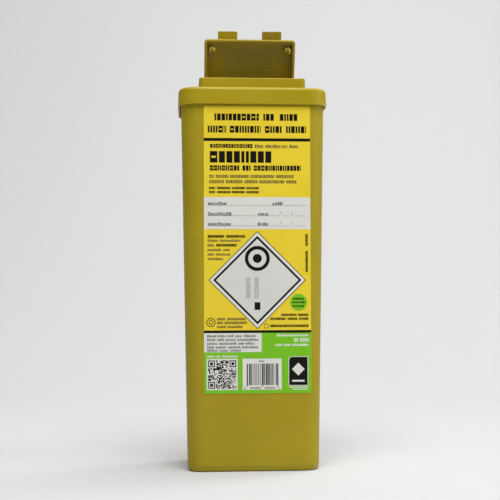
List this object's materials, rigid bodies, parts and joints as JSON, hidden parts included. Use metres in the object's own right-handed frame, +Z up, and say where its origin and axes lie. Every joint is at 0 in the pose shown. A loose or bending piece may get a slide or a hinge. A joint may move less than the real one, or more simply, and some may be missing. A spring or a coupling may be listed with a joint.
{
  "type": "sharps container",
  "caption": "Upright tapered plastic sharps bin with a clip-on lid, a raised collar round its opening, a hinged latching door and a printed front label.",
  "frame": {"origin": "middle of the footprint, on the surface that the foot ring stands on", "axes": "+Z up towards the door, -Y towards the front that carries the label, +X to the right of someone facing the front"},
  "size_m": [0.0738, 0.047, 0.2215],
  "materials": {
    "tub_plastic": "semi-matt olive-yellow polypropylene",
    "lid_plastic": "semi-matt olive-yellow polypropylene",
    "label_print": "printed film sticker"
  },
  "bodies": {
    "container": {"tub": "tub_plastic", "lid": "lid_plastic", "front_label": "label_print"},
    "door": {"door": "lid_plastic"}
  },
  "joints": [
    {"name": "door_hinge", "type": "hinge", "parent": "container", "child": "door", "pos_m": [0, 0.01215, 0.1926], "axis": [-1, 0, 0], "range_deg": [-70, 35]}
  ]
}
